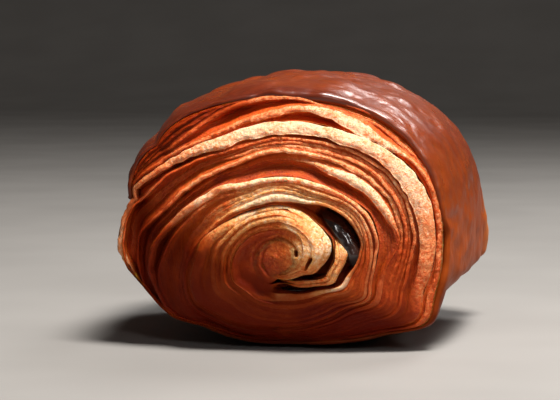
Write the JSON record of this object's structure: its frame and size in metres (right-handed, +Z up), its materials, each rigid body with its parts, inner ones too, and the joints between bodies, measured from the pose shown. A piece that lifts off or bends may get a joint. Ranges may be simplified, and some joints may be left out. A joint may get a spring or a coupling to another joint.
{
  "type": "pain au chocolat",
  "caption": "Rolled laminated pastry with a glazed, browned crust, flaky spiral ends and dark chocolate batons that run through it.",
  "frame": {"origin": "middle of the flat base that the pastry rests on", "axes": "+X across the roll, +Y along the roll from its front end to its back end, +Z up"},
  "size_m": [0.0768, 0.088, 0.0569],
  "materials": {
    "baked_dough": "egg-washed and browned outside, pale and crumbly at the layered ends",
    "chocolate": "smooth, glossy where it has melted"
  },
  "bodies": {
    "root": {"pastry": "baked_dough", "chocolate_baton_right": "chocolate", "chocolate_baton_low": "chocolate"}
  },
  "joints": []
}
